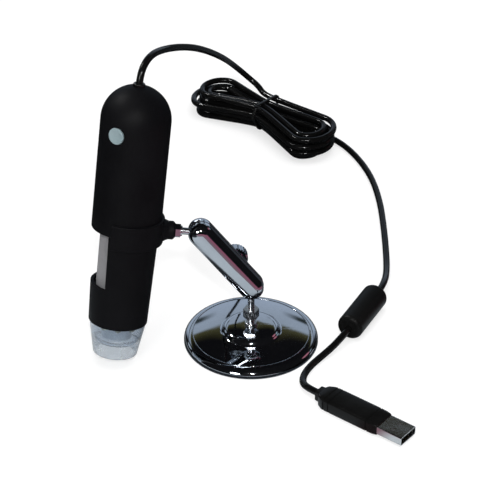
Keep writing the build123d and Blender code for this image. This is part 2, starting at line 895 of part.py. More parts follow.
lens_radius = barrel_bore - lens_clearance
with BuildPart() as lens_elements:
    for share in lens_level_shares:
        lens_bottom = barrel_bottom_level + share * barrel_length
        lens_top = lens_bottom + lens_thickness
        with BuildSketch(scope_profile):
            with BuildLine():
                Line((0, lens_top), (0, lens_bottom))
                TangentArc((0, lens_bottom), (lens_radius, lens_bottom + lens_bulge), tangent=(1, 0))
                Line((lens_radius, lens_bottom + lens_bulge), (lens_radius, lens_top - lens_bulge))
                TangentArc((0, lens_top), (lens_radius, lens_top - lens_bulge), tangent=(1, 0))
            make_face()
        revolve(axis=scope_axis)
lens_elements.part.label = "lens_elements"

# Sensor board on the spigot, its sensor and screws
board_top = spigot_top_level + board_thickness
with BuildPart() as sensor_board:
    with BuildSketch(scope_level(spigot_top_level)):
        Circle(sensor_board_radius)
        with PolarLocations(screw_boss_circle, screw_count):
            Circle(screw_radius + screw_hole_clearance, mode=Mode.SUBTRACT)
    extrude(amount=board_thickness)
sensor_board.part.label = "sensor_board"

with BuildPart() as image_sensor:
    with BuildSketch(scope_level(spigot_top_level)):
        Rectangle(sensor_size, sensor_size)
    extrude(amount=-sensor_thickness)
image_sensor.part.label = "image_sensor"

with BuildPart() as board_screws:
    with BuildSketch(scope_level(board_top - screw_length)):
        with PolarLocations(screw_boss_circle, screw_count):
            Circle(screw_radius)
    extrude(amount=screw_length)
    with BuildSketch(scope_level(board_top)):
        with PolarLocations(screw_boss_circle, screw_count):
            Circle(screw_head_radius)
    extrude(amount=screw_head_height)
board_screws.part.label = "board_screws"

# Main board, upright behind the button, with its chips and the switch
board_middle = (board_top + main_board_top) / 2
board_height = main_board_top - board_top
board_shift = board_middle - button_level
with BuildPart() as main_board:
    with BuildSketch(button_plane(main_board_radial)):
        with Locations((board_shift, 0)):
            RectangleRounded(board_height, main_board_width, main_board_corner)
    extrude(amount=-board_thickness)
main_board.part.label = "main_board"

chip_face = main_board_radial - board_thickness
with BuildPart() as board_chips:
    with BuildSketch(button_plane(chip_face)):
        with Locations((board_shift, 0)):
            Rectangle(chip_large, chip_large)
        with Locations((board_shift - chip_spacing, chip_small), (board_shift + chip_spacing, -chip_small)):
            Rectangle(chip_small, chip_small)
    extrude(amount=-chip_thickness)
board_chips.part.label = "board_chips"

with BuildPart() as tact_switch:
    with BuildSketch(button_plane(main_board_radial)):
        Rectangle(switch_size, switch_size)
    extrude(amount=switch_height)
    with BuildSketch(button_plane(main_board_radial)):
        Circle(switch_plunger_radius)
    extrude(amount=switch_plunger_end - main_board_radial)
tact_switch.part.label = "tact_switch"

# Snapshot button: dished cap, flange inside the casing, stem to the switch
flange_bottom = button_flange_top - button_flange_thickness
dish_sphere = (button_dish_radius**2 + button_dish_depth**2) / (2 * button_dish_depth)
with BuildPart() as snapshot_button:
    with BuildSketch(button_plane(button_stem_end)):
        Circle(button_stem_radius)
    extrude(amount=flange_bottom - button_stem_end)
    with BuildSketch(button_plane(flange_bottom)):
        Circle(button_flange_radius)
    extrude(amount=button_flange_thickness)
    with BuildSketch(button_plane(button_flange_top)):
        Circle(button_radius)
    extrude(amount=button_face - button_flange_top)
    fillet(snapshot_button.edges().sort_by(button_axis)[-1], button_edge)
    with Locations(button_plane(button_face - button_dish_depth + dish_sphere)):
        Sphere(dish_sphere, mode=Mode.SUBTRACT)
snapshot_button.part.label = "snapshot_button"

# Upper casing with its dome, button hole and cord hole
casing_bottom = lower_top_level + joint_line
grommet_radius = cord_diameter / 2 + grommet_clearance + grommet_wall
with BuildPart() as upper_casing:
    with BuildSketch(scope_profile):
        with BuildLine():
            Line((casing_inner, casing_bottom), (casing_radius, casing_bottom))
            Line((casing_radius, casing_bottom), (casing_radius, dome_level))
            CenterArc((0, dome_level), casing_radius, 0, 90)
            Line((0, dome_level + casing_radius), (0, dome_level + casing_inner))
            CenterArc((0, dome_level), casing_inner, 0, 90)
            Line((casing_inner, dome_level), (casing_inner, casing_bottom))
        make_face()
    revolve(axis=scope_axis)
    outer_rim = upper_casing.edges().group_by(scope_axis)[0].sort_by(SortBy.LENGTH)[-1]
    fillet(outer_rim, casing_rounding)
    with BuildSketch(scope_level(dome_level)):
        Circle(grommet_radius + fit_gap)
    extrude(amount=casing_radius + cut, mode=Mode.SUBTRACT)
    with BuildSketch(button_plane(0)):
        Circle(button_radius + button_hole_clearance)
    extrude(amount=casing_radius + cut, mode=Mode.SUBTRACT)
upper_casing.part.label = "upper_casing"

dome_top = dome_level + casing_radius
flange_level = dome_level + sqrt(casing_inner**2 - grommet_flange_radius**2)
with BuildPart() as cord_grommet:
    with BuildSketch(scope_level(flange_level - grommet_flange_thickness)):
        Circle(grommet_flange_radius)
    extrude(amount=grommet_flange_thickness)
    with BuildSketch(scope_level(flange_level)):
        Circle(grommet_radius)
    extrude(amount=dome_top + grommet_proud - flange_level)
    fillet(cord_grommet.edges().group_by(scope_axis)[-1], grommet_wall * grommet_rounding_share)
    with BuildSketch(scope_level(flange_level - grommet_flange_thickness)):
        Circle(cord_diameter / 2 + grommet_clearance)
    extrude(amount=casing_radius, mode=Mode.SUBTRACT)
cord_grommet.part.label = "cord_grommet"


# The hank, in its own frame: X along its loops, Y across them
hank_direction = Vector(1, 0, 0).rotate(Axis.Z, hank_heading)
hank_plane = Plane(origin=(*hank_centre, 0), x_dir=hank_direction, z_dir=(0, 0, 1))
cord_radius = cord_diameter / 2
waist_lift = tie_thickness + tie_gap
middle_layer = (layers - 1) / 2


def hank_layer(turn):
    """How many layers down from the top, and how many pitches out, after some turns."""
    layer = floor(turn / 2)
    part_turn = turn - 2 * layer
    wound = min(part_turn, reverse_turns)
    out = reverse_turns - wound if layer % 2 == 0 else wound
    if part_turn > reverse_turns:
        layer += (part_turn - reverse_turns) / (2 - reverse_turns)
    return layer, out


def in_hank(point):
    """A point of the hank's frame in the object's frame."""
    return hank_plane.from_local_coords(Vector(*point))


def hank_key(turn):
    """A point of the cord in the hank's frame, and the direction that it runs in."""
    share = round(turn - floor(turn), 4)
    layer, out = hank_layer(turn)
    height = cord_radius + layer_pitch * (layers - 1 - layer)
    lean = (layer - middle_layer) / middle_layer
    waist = waist_pitch * (out + end_share)
    right = right_half_width + lobe_pitch * out
    left = left_half_width + lobe_pitch * out
    right_middle = -right_fan * lean - right_shift
    left_middle = -left_fan * lean - left_shift
    if turn in (0, hank_turns):
        waist += lead_step
    places = {
        0: ((0, waist, height + waist_lift), (1, 0, 0)),
        0.15: ((right_lobe, right_middle + right, height), (1, 0, 0)),
        0.25: ((right_lobe + right, right_middle, height), (0, -1, 0)),
        0.35: ((right_lobe, right_middle - right, height), (-1, 0, 0)),
        0.5: ((0, -waist, height + waist_lift), (-1, 0, 0)),
        0.65: ((-left_lobe, left_middle - left, height), (-1, 0, 0)),
        0.75: ((-left_lobe - left, left_middle, height), (0, 1, 0)),
        0.85: ((-left_lobe, left_middle + left, height), (1, 0, 0)),
    }
    point, heading = places[share]
    along, sideways = heading[:2]
    return Vector(*point), hank_plane.x_dir * along + hank_plane.y_dir * sideways


def biarc_middle(start, start_heading, end, end_heading):
    """The point where two arcs from the two ends meet with one tangent."""
    span = end - start
    headings = start_heading + end_heading
    spread = 2 * (1 - start_heading.dot(end_heading))
    along = span.dot(headings)
    if spread < parallel_tolerance:
        handle = span.dot(span) / (2 * along)
    else:
        handle = (sqrt(along**2 + spread * span.dot(span)) - along) / spread
    return (start + start_heading * handle + end - end_heading * handle) * 0.5


hank_times = [turn + share for turn in range(hank_turns) for share in hank_turn_shares] + [hank_turns]
hank_keys = [hank_key(turn) for turn in hank_times]
hank_path = [(in_hank(point), heading) for point, heading in hank_keys]
lead_in_start = hank_path[0][0] - hank_plane.x_dir * cord_diameter
lead_out_end = hank_path[-1][0] + hank_plane.x_dir * cord_diameter
with BuildPart() as cord_hank:
    with BuildLine() as hank_line:
        Line(lead_in_start, in_hank(hank_keys[0][0]))
        for (start, start_heading), (end, end_heading) in zip(hank_path, hank_path[1:]):
            middle = biarc_middle(start, start_heading, end, end_heading)
            TangentArc(start, middle, tangent=start_heading)
            TangentArc(middle, end, tangent=-end_heading, tangent_from_first=False)
        Line(in_hank(hank_keys[-1][0]), lead_out_end)
    with BuildSketch(Plane(origin=hank_line.wires()[0] @ 0, z_dir=hank_line.wires()[0] % 0)):
        Circle(cord_radius)
    sweep(path=hank_line.wires()[0])
cord_hank.part.label = "cord_hank"


def report_tube(name, part, line):
    """Print how the tube's volume compares with its section times its length."""
    plain_volume = pi * cord_radius**2 * line.length
    print(name, "length", round(line.length, 1), "volume ratio", round(part.volume / plain_volume, 4))


def least_gap(line):
    """The least gap between stretches of the tube that lie more than a few diameters apart along it."""
    points = []
    along = 0.0
    for edge in line.edges():
        for step in range(samples_per_arc):
            point = edge @ (step / samples_per_arc)
            points.append((along + edge.length * step / samples_per_arc, (point.X, point.Y, point.Z)))
        along += edge.length
    least = line.length
    for index, (place, point) in enumerate(points):
        for other_place, other in points[index + 1:]:
            if other_place - place > apart_diameters * cord_diameter:
                least = min(least, dist(point, other))
    return least - cord_diameter


hank_wire = hank_line.wires()[0]
report_tube("cord_hank", cord_hank.part, hank_wire)
print("cord_hank least gap to itself", round(least_gap(hank_wire), 3))

# Tie round the hank's waist, on the outline of the outermost strands
outermost_turns = (6.5, 7, 4, 0, 0.5, 3.5)
waist_outline = [hank_key(turn)[0] for turn in outermost_turns]
waist_corners = [(point.Y, point.Z) for point in waist_outline]
tie_plane = Plane(
    origin=hank_plane.from_local_coords((-tie_width / 2, 0, 0)),
    x_dir=hank_plane.y_dir,
    z_dir=hank_plane.x_dir,
)
with BuildPart() as hank_tie:
    with BuildSketch(tie_plane):
        Polygon(*waist_corners, align=None)
        offset(amount=cord_radius + tie_gap + tie_thickness, kind=Kind.ARC)
    extrude(amount=tie_width)
    with BuildSketch(tie_plane):
        Polygon(*waist_corners, align=None)
        offset(amount=cord_radius + tie_gap, kind=Kind.ARC)
    extrude(amount=tie_width, mode=Mode.SUBTRACT)
hank_tie.part.label = "hank_tie"


# Free cord: tubes of straight runs and tangent arcs
def bend_radii(points):
    """The radius at each corner, as large as its two runs allow."""
    radii = []
    for before, corner, after in zip(points, points[1:], points[2:]):
        run_in = Vector(corner) - Vector(before)
        run_out = Vector(after) - Vector(corner)
        turn = radians(run_in.get_angle(run_out))
        radii.append(bend_share * min(run_in.length, run_out.length) / tan(turn / 2))
    return radii


def cord_tube(label, points):
    """A stretch of free cord along its route, with its radii printed."""
    radii = bend_radii(points)
    with BuildPart() as tube:
        with BuildLine() as route:
            FilletPolyline(*points, radius=radii)
        wire = route.wires()[0]
        with BuildSketch(Plane(origin=wire @ 0, z_dir=wire % 0)):
            Circle(cord_radius)
        sweep(path=wire)
    tube.part.label = label
    print(label, "radii", [round(radius, 1) for radius in radii])
    report_tube(label, tube.part, wire)
    return tube


lead_in_corner = lead_in_start - hank_plane.x_dir * end_run
lead_out_corner = lead_out_end + hank_plane.x_dir * end_run
cord_arch = cord_tube("cord_arch", [*arch_route, lead_in_corner, lead_in_start])

ferrite_entry = Vector(*ferrite_in, ferrite_radius)
ferrite_exit = Vector(*ferrite_out, ferrite_radius)
ferrite_line = (ferrite_exit - ferrite_entry).normalized()
ferrite_length = (ferrite_exit - ferrite_entry).length
cord_floor = cord_tube(
    "cord_floor",
    [lead_out_end, lead_out_corner, *floor_route, ferrite_entry - ferrite_line * end_run, ferrite_entry],
)

overmould_middle = overmould_height / 2
plug_entry = Vector(*plug_start, overmould_middle)
plug_line = (Vector(*plug_end, overmould_middle) - plug_entry).normalized()
cord_tail = cord_tube(
    "cord_tail",
    [
        ferrite_exit,
        ferrite_exit + ferrite_line * end_run,
        *tail_route,
        plug_entry - plug_line * end_run,
        plug_entry,
    ],
)

# Ferrite choke, lying on the floor
ferrite_plane = Plane(origin=ferrite_entry, x_dir=(0, 0, 1), z_dir=ferrite_line)
with BuildPart() as ferrite_choke:
    with BuildSketch(ferrite_plane):
        Circle(ferrite_radius)
    extrude(amount=ferrite_length)
    fillet(ferrite_choke.edges().filter_by(GeomType.CIRCLE), ferrite_rounding)
ferrite_choke.part.label = "ferrite_choke"

# USB plug: overmould, shell, tongue, contacts
def plug_plane(distance):
    """The plane across the plug at a distance from the cord's end, its X across the plug."""
    return Plane(origin=plug_entry + plug_line * distance, x_dir=plug_line.cross(up), z_dir=plug_line)


overmould_shoulder = overmould_length * overmould_tail_share
with BuildPart() as plug_overmould:
    with BuildSketch(plug_plane(0)):
        RectangleRounded(overmould_tail_width, overmould_height, overmould_rounding)
    with BuildSketch(plug_plane(overmould_shoulder)):
        RectangleRounded(overmould_width, overmould_height, overmould_rounding)
    loft()
    with BuildSketch(plug_plane(overmould_shoulder)):
        RectangleRounded(overmould_width, overmould_height, overmould_rounding)
    extrude(amount=overmould_length - overmould_shoulder)
    for share in overmould_ridge_shares:
        with BuildSketch(plug_plane(share * overmould_length)):
            Rectangle(overmould_width + cut, overmould_height + cut)
            Rectangle(
                overmould_width - 2 * overmould_ridge_depth,
                overmould_height + cut,
                mode=Mode.SUBTRACT,
            )
        extrude(amount=overmould_ridge_width, mode=Mode.SUBTRACT)
    with BuildSketch(plug_plane(overmould_length - shell_sunk)):
        Rectangle(shell_width, shell_height)
    extrude(amount=shell_sunk, mode=Mode.SUBTRACT)
plug_overmould.part.label = "plug_overmould"

shell_start = overmould_length - shell_sunk
shell_tip = shell_start + shell_length
with BuildPart() as plug_shell:
    with BuildSketch(plug_plane(shell_start)):
        RectangleRounded(shell_width, shell_height, shell_corner)
        RectangleRounded(
            shell_width - 2 * shell_wall,
            shell_height - 2 * shell_wall,
            shell_corner - shell_wall,
            mode=Mode.SUBTRACT,
        )
    extrude(amount=shell_length)
    hole_plane = Plane(
        origin=plug_plane(shell_tip - shell_hole_from_tip).origin,
        x_dir=plug_plane(0).x_dir,
        z_dir=(0, 0, 1),
    )
    with BuildSketch(hole_plane):
        with Locations((-shell_hole_spacing / 2, 0), (shell_hole_spacing / 2, 0)):
            Rectangle(shell_hole, shell_hole)
    extrude(amount=shell_height, both=True, mode=Mode.SUBTRACT)
plug_shell.part.label = "plug_shell"

tongue_width = shell_width - 2 * shell_wall - 2 * tongue_clearance
tongue_bottom = shell_wall + tongue_clearance - shell_height / 2
with BuildPart() as plug_tongue:
    with BuildSketch(plug_plane(shell_start)):
        with Locations((0, tongue_bottom + tongue_thickness / 2)):
            Rectangle(tongue_width, tongue_thickness)
    extrude(amount=shell_length - tongue_recess)
plug_tongue.part.label = "plug_tongue"

contact_end = shell_length - 2 * tongue_recess
contact_places = [contact_spacing * share for share in contact_shares]
with BuildPart() as plug_contacts:
    with BuildSketch(plug_plane(shell_start + contact_end - contact_length)):
        for place in contact_places:
            with Locations((place, tongue_bottom + tongue_thickness + contact_thickness / 2)):
                Rectangle(contact_width, contact_thickness)
    extrude(amount=contact_length)
plug_contacts.part.label = "plug_contacts"

for piece in (
    base_disc,
    base_ballast,
    foot_pad,
    base_nut,
    base_stud,
    arm_front_shell,
    arm_back_shell,
    clamp_stud,
    clamp_washer,
    clamp_knob,
    upper_stud,
    upper_nut,
    holder_clip,
    boss_insert,
    clear_nozzle,
    led_ring_board,
    leds,
    led_bezel,
    lower_casing,
    focus_ring,
    ring_retainer,
    lens_barrel,
    lens_elements,
    sensor_board,
    image_sensor,
    board_screws,
    main_board,
    board_chips,
    tact_switch,
    snapshot_button,
    upper_casing,
    cord_grommet,
    cord_arch,
    cord_hank,
    hank_tie,
    cord_floor,
    ferrite_choke,
    cord_tail,
    plug_overmould,
    plug_shell,
    plug_tongue,
    plug_contacts,
):
    export_step(piece.part, f"parts/{piece.part.label}.step")
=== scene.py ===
# Looks of the USB digital microscope on its ball-joint stand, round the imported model.
# Named sizes are in millimetres and are turned into metres where a mesh is made.

import math

import bmesh
import bpy
import numpy as np
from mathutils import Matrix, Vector


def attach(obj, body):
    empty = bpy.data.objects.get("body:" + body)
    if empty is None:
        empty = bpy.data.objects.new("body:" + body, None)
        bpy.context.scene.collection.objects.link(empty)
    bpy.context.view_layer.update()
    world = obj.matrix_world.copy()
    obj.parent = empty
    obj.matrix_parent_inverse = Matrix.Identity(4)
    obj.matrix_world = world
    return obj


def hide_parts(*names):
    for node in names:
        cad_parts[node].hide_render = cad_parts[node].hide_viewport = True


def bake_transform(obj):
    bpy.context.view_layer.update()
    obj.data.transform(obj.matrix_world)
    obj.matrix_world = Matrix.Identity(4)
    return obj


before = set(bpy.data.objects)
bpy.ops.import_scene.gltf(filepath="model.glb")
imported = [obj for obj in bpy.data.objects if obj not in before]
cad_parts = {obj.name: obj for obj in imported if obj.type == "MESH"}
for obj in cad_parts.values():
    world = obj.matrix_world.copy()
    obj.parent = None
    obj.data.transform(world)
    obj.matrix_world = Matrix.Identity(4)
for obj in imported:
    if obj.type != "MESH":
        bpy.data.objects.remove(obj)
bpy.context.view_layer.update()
scene = bpy.context.scene
MM = 0.001


def turned(degrees):
    """Cosine and sine of an angle in degrees."""
    return math.cos(math.radians(degrees)), math.sin(math.radians(degrees))


# Frames of the stand, the arm and the microscope, from the same angles and lengths as the part's source
stand_turn = 3.4
arm_lean = 37.2
stud_drop = 6.85
scope_roll = 9.87
ball_height = 33.0
ball_to_ball = 41.0
stud_reach = 36.5
clip_place = 67.0

up = Vector((0, 0, 1))
turn_cos, turn_sin = turned(stand_turn)
across = Vector((turn_cos, turn_sin, 0))
away = Vector((-turn_sin, turn_cos, 0))
lean_cos, lean_sin = turned(arm_lean)
lower_ball = up * ball_height
arm_line = up * lean_cos - across * lean_sin
arm_side = away.cross(arm_line).normalized()
upper_ball = lower_ball + arm_line * ball_to_ball
drop_cos, drop_sin = turned(stud_drop)
stud_line = across * drop_cos - up * drop_sin
scope_upright = across * drop_sin + up * drop_cos
roll_cos, roll_sin = turned(scope_roll)
scope_line = scope_upright * roll_cos + away * roll_sin
scope_side = scope_line.cross(stud_line)
scope_tip = upper_ball - stud_line * stud_reach - scope_line * clip_place

# Camera at the photograph's viewing angle, in metres
camera_lens = 141.07
camera_place = (-0.00559, -0.774229, 0.5629)
camera_tilt = 57
camera_data = bpy.data.cameras.new("camera")
camera_data.lens = camera_lens
camera_data.sensor_width = 36.0
camera_data.clip_end = 20.0
camera = bpy.data.objects.new("camera", camera_data)
camera.location = camera_place
camera.rotation_euler = (math.radians(camera_tilt), 0, 0)
scene.collection.objects.link(camera)
scene.camera = camera


# Node materials
class Nodes:
    """A node tree, emptied, with short calls for adding nodes and joining them."""

    def __init__(self, tree):
        self.tree = tree
        tree.nodes.clear()

    def add(self, kind, **values):
        node = self.tree.nodes.new(kind)
        for key, value in values.items():
            if key in node.inputs:
                node.inputs[key].default_value = value
            else:
                setattr(node, key, value)
        return node

    def join(self, start, end):
        self.tree.links.new(start, end)

    def ramp(self, factor, stops):
        """A colour that changes with the factor, from stops of (place, colour)."""
        node = self.add("ShaderNodeValToRGB")
        elements = node.color_ramp.elements
        while len(elements) < len(stops):
            elements.new(0.5)
        for element, (place, colour) in zip(elements, stops):
            element.position = place
            element.color = (*colour, 1)
        self.join(factor, node.inputs["Fac"])
        return node.outputs["Color"]

    def math(self, operation, first, second):
        """One operation on two values, each a number or a socket."""
        node = self.add("ShaderNodeMath", operation=operation)
        for socket, value in zip(node.inputs, (first, second)):
            if isinstance(value, (int, float)):
                socket.default_value = value
            else:
                self.join(value, socket)
        return node.outputs[0]

    def span(self, factor, low, high, start, end):
        """low where the factor is start or less, high where it is end or more, and a slope between."""
        node = self.add("ShaderNodeMapRange")
        for name, value in (("From Min", start), ("From Max", end), ("To Min", low), ("To Max", high)):
            node.inputs[name].default_value = value
        self.join(factor, node.inputs["Value"])
        return node.outputs["Result"]

    def mix(self, factor, first, second):
        """A mix of two colours, each a tuple or a socket."""
        node = self.add("ShaderNodeMix", data_type="RGBA")
        self.join(factor, node.inputs["Factor"])
        for socket, value in ((node.inputs[6], first), (node.inputs[7], second)):
            if isinstance(value, tuple):
                socket.default_value = (*value, 1)
            else:
                self.join(value, socket)
        return node.outputs[2]

    def mix_shaders(self, factor, first, second):
        """A mix of two shaders' nodes."""
        node = self.add("ShaderNodeMixShader")
        self.join(factor, node.inputs["Fac"])
        self.join(first.outputs[0], node.inputs[1])
        self.join(second.outputs[0], node.inputs[2])
        return node


def noise(nodes, scale, detail, roughness):
    """Noise over the object's own place, with its scale in features per metre."""
    place = nodes.add("ShaderNodeTexCoord").outputs["Object"]
    node = nodes.add("ShaderNodeTexNoise", Scale=scale, Detail=detail, Roughness=roughness)
    nodes.join(place, node.inputs["Vector"])
    return node.outputs["Fac"]


broad_share = 0.65
shade_span = (0.32, 0.68)
rough_span = (0.35, 0.65)


def finish_material(name, shades, rough, grain, bump, bump_grain=2600, patch=60, **settings):
    """A surface with patchy colour, uneven roughness and a fine bump.

    shades is (dark, light), rough is (smoothest, roughest), bump is in millimetres,
    and grain, bump_grain and patch are features per metre. settings go to the shader's own sockets."""
    material = bpy.data.materials.new(name)
    material.use_nodes = True
    nodes = Nodes(material.node_tree)
    shader = nodes.add("ShaderNodeBsdfPrincipled", **settings)
    out = nodes.add("ShaderNodeOutputMaterial")
    nodes.join(shader.outputs[0], out.inputs["Surface"])
    broad = noise(nodes, patch, 4.0, 0.6)
    fine = noise(nodes, grain, 3.0, 0.6)
    mixed = nodes.math(
        "ADD", nodes.math("MULTIPLY", broad, broad_share), nodes.math("MULTIPLY", fine, 1 - broad_share)
    )
    nodes.join(nodes.ramp(mixed, list(zip(shade_span, shades))), shader.inputs["Base Color"])
    nodes.join(nodes.span(mixed, *rough, *rough_span), shader.inputs["Roughness"])
    if bump:
        node = nodes.add("ShaderNodeBump", Strength=1.0, Distance=bump * MM)
        nodes.join(noise(nodes, bump_grain, 2.0, 0.5), node.inputs["Height"])
        nodes.join(node.outputs["Normal"], shader.inputs["Normal"])
    return material


def grey(value, blue=0.0):
    """A grey with a little more blue."""
    return (value, value, value + blue)


chrome = finish_material(
    "chrome", ((0.5, 0.53, 0.57), (0.57, 0.6, 0.64)), (0.03, 0.075),
    grain=700, bump=0.0006, bump_grain=900, patch=40, Metallic=1.0,
)
stud_steel = finish_material(
    "stud_steel", ((0.6, 0.62, 0.65), (0.7, 0.72, 0.75)), (0.13, 0.24),
    grain=900, bump=0.001, bump_grain=1500, patch=60, Metallic=1.0,
)
steel = finish_material(
    "steel", (grey(0.42), grey(0.6)), (0.22, 0.4),
    grain=1800, bump=0.006, bump_grain=3000, patch=90, Metallic=1.0,
)
plug_steel = finish_material(
    "plug_steel", (grey(0.62), grey(0.74)), (0.1, 0.22),
    grain=1500, bump=0.003, bump_grain=3500, patch=80, Metallic=1.0,
)


def black_material(name, shades, rough, level, **values):
    """A black finish, whose gloss is set by its specular level."""
    return finish_material(name, shades, rough, **values, **{"Specular IOR Level": level})


soft_black = black_material(
    "soft_black", (grey(0.0016, 0.0005), grey(0.003, 0.0008)), (0.5, 0.6),
    grain=2200, bump=0.012, bump_grain=5200, patch=45, level=0.07,
)
satin_black = black_material(
    "satin_black", (grey(0.0022), grey(0.0045)), (0.34, 0.46),
    grain=1800, bump=0.02, bump_grain=3000, patch=70, level=0.08,
)
cord_black = black_material(
    "cord_black", (grey(0.0018), grey(0.0036)), (0.12, 0.2),
    grain=1500, bump=0.006, bump_grain=1400, patch=90, level=0.24,
)
tie_black = black_material(
    "tie_black", (grey(0.003), grey(0.006)), (0.16, 0.26),
    grain=1700, bump=0.008, bump_grain=2600, patch=120, level=0.4,
)
plug_black = black_material(
    "plug_black", (grey(0.0025), grey(0.005)), (0.16, 0.26),
    grain=1600, bump=0.004, bump_grain=3000, patch=80, level=0.14,
)
foot_black = finish_material(
    "foot_black", (grey(0.02), grey(0.045)), (0.75, 0.92),
    grain=1600, bump=0.06, bump_grain=2600, patch=60,
)
grey_plastic = finish_material(
    "grey_plastic", (grey(0.13, 0.006), grey(0.19, 0.008)), (0.35, 0.5),
    grain=1800, bump=0.012, bump_grain=3600, patch=70,
)
button_paint = finish_material(
    "button_paint", ((0.14, 0.19, 0.205), (0.18, 0.235, 0.25)), (0.3, 0.42),
    grain=2400, bump=0.004, bump_grain=4200, patch=200,
)
board_green = finish_material(
    "board_green", ((0.01, 0.09, 0.035), (0.02, 0.16, 0.06)), (0.25, 0.4),
    grain=1400, bump=0.02, bump_grain=2600, patch=300,
)
chip_black = finish_material(
    "chip_black", (grey(0.02), grey(0.035)), (0.45, 0.6),
    grain=2600, bump=0.015, bump_grain=5200, patch=90,
)
brass = finish_material(
    "brass", ((0.55, 0.38, 0.14), (0.75, 0.56, 0.26)), (0.2, 0.35),
    grain=1800, bump=0.006, bump_grain=3200, patch=120, Metallic=1.0,
)
gold = finish_material(
    "gold", ((0.72, 0.5, 0.18), (0.85, 0.64, 0.28)), (0.15, 0.28),
    grain=2200, bump=0.003, bump_grain=4200, patch=150, Metallic=1.0,
)
dark_glass = finish_material(
    "dark_glass", ((0.01, 0.012, 0.03), (0.03, 0.02, 0.05)), (0.04, 0.08),
    grain=900, bump=0,
)
lens_glass = finish_material(
    "lens_glass", (grey(0.92), grey(0.98)), (0.01, 0.03),
    grain=900, bump=0, **{"Transmission Weight": 1.0, "IOR": 1.52},
)
lamp_glass = finish_material(
    "lamp_glass", ((0.85, 0.85, 0.7), (0.95, 0.95, 0.82)), (0.08, 0.16),
    grain=900, bump=0, **{"Transmission Weight": 0.7},
)
clear_plastic = finish_material(
    "clear_plastic", ((0.56, 0.61, 0.67), (0.7, 0.75, 0.8)), (0.1, 0.3),
    grain=900, bump=0.002, bump_grain=1200, **{"Transmission Weight": 1.0, "IOR": 1.45},
)
pale_plastic = finish_material(
    "pale_plastic", ((0.5, 0.55, 0.61), (0.64, 0.69, 0.75)), (0.3, 0.45),
    grain=900, bump=0.004, bump_grain=1500, patch=80,
)


# Floor, world and lights. Places, sizes and distances of these are in metres
floor_reach = 6.0
floor_drop = 0.0001
floor_white = (0.9, 0.9, 0.9)
floor_glow = 0.6
pale_table = (0.43, 0.47, 0.5)
# This dark colour is the table's far end, and also a painted shadow in a ring close round the base
dark_table_and_shadow = (0.02, 0.022, 0.025)
far_table = (0.035, 0.04, 0.045)
rose_slant = -0.47
plug_spot = (0.078, -0.092, 0)


def white_floor():
    """White to the camera, and for reflections a pale table.

    Its first stops are distances from the stand's middle: a dark ring close round the base, which is a
    painted shadow of the base, the table, and its end. To the right of a slanting line it turns rose, but not
    near the plug."""
    material = bpy.data.materials.new("floor_white")
    material.use_nodes = True
    nodes = Nodes(material.node_tree)
    place = nodes.add("ShaderNodeTexCoord").outputs["Object"]
    far = nodes.add("ShaderNodeVectorMath", operation="LENGTH")
    nodes.join(place, far.inputs[0])
    table = nodes.ramp(
        far.outputs["Value"],
        [
            (0.03455, (0.42, 0.48, 0.53)),
            # Painted shadow: a dark ring round the base's rim, standing in for the base's contact shadow on
            # the table
            (0.0348, dark_table_and_shadow),
            (0.046, (0.03, 0.034, 0.038)),
            (0.055, pale_table),
            (0.17, pale_table),
            (0.22, dark_table_and_shadow),
        ],
    )
    parts = nodes.add("ShaderNodeSeparateXYZ")
    nodes.join(place, parts.inputs[0])
    slant = nodes.math("ADD", parts.outputs["X"], nodes.math("MULTIPLY", parts.outputs["Y"], rose_slant))
    rose = nodes.ramp(
        slant,
        [
            (0.036, pale_table),
            (0.05, (0.19, 0.135, 0.155)),
            (0.15, (0.2, 0.09, 0.12)),
            (0.5, (0.27, 0.075, 0.125)),
            (0.8, (0.02, 0.02, 0.024)),
        ],
    )
    beside_plug = nodes.add("ShaderNodeVectorMath", operation="DISTANCE")
    nodes.join(place, beside_plug.inputs[0])
    beside_plug.inputs[1].default_value = plug_spot
    right = nodes.math(
        "MULTIPLY",
        nodes.span(slant, 0, 1, 0.03, 0.036),
        nodes.span(far.outputs["Value"], 0, 1, 0.085, 0.09),
    )
    right = nodes.math("MULTIPLY", right, nodes.span(beside_plug.outputs["Value"], 0, 1, 0.018, 0.026))
    colour = nodes.mix(right, table, rose)
    colour = nodes.mix(nodes.span(parts.outputs["Y"], 0, 1, 0.02, 0.08), colour, far_table)
    ways = nodes.add("ShaderNodeLightPath")
    shader = nodes.add("ShaderNodeBsdfDiffuse")
    nodes.join(nodes.mix(ways.outputs["Is Glossy Ray"], floor_white, colour), shader.inputs["Color"])
    glow = nodes.add("ShaderNodeEmission", Color=(1, 1, 1, 1), Strength=1.0)
    seen = nodes.math("MAXIMUM", ways.outputs["Is Camera Ray"], ways.outputs["Is Transmission Ray"])
    both = nodes.mix_shaders(nodes.math("MULTIPLY", seen, floor_glow), shader, glow)
    out = nodes.add("ShaderNodeOutputMaterial")
    nodes.join(both.outputs[0], out.inputs["Surface"])
    return material


floor_mesh = bpy.data.meshes.new("floor")
corners = [(x * floor_reach, y * floor_reach, 0) for x, y in ((-1, -1), (1, -1), (1, 1), (-1, 1))]
floor_mesh.from_pydata(corners, [], [(0, 1, 2, 3)])
floor = bpy.data.objects.new("floor", floor_mesh)
floor.location.z = -floor_drop
floor_mesh.materials.append(white_floor())
scene.collection.objects.link(floor)


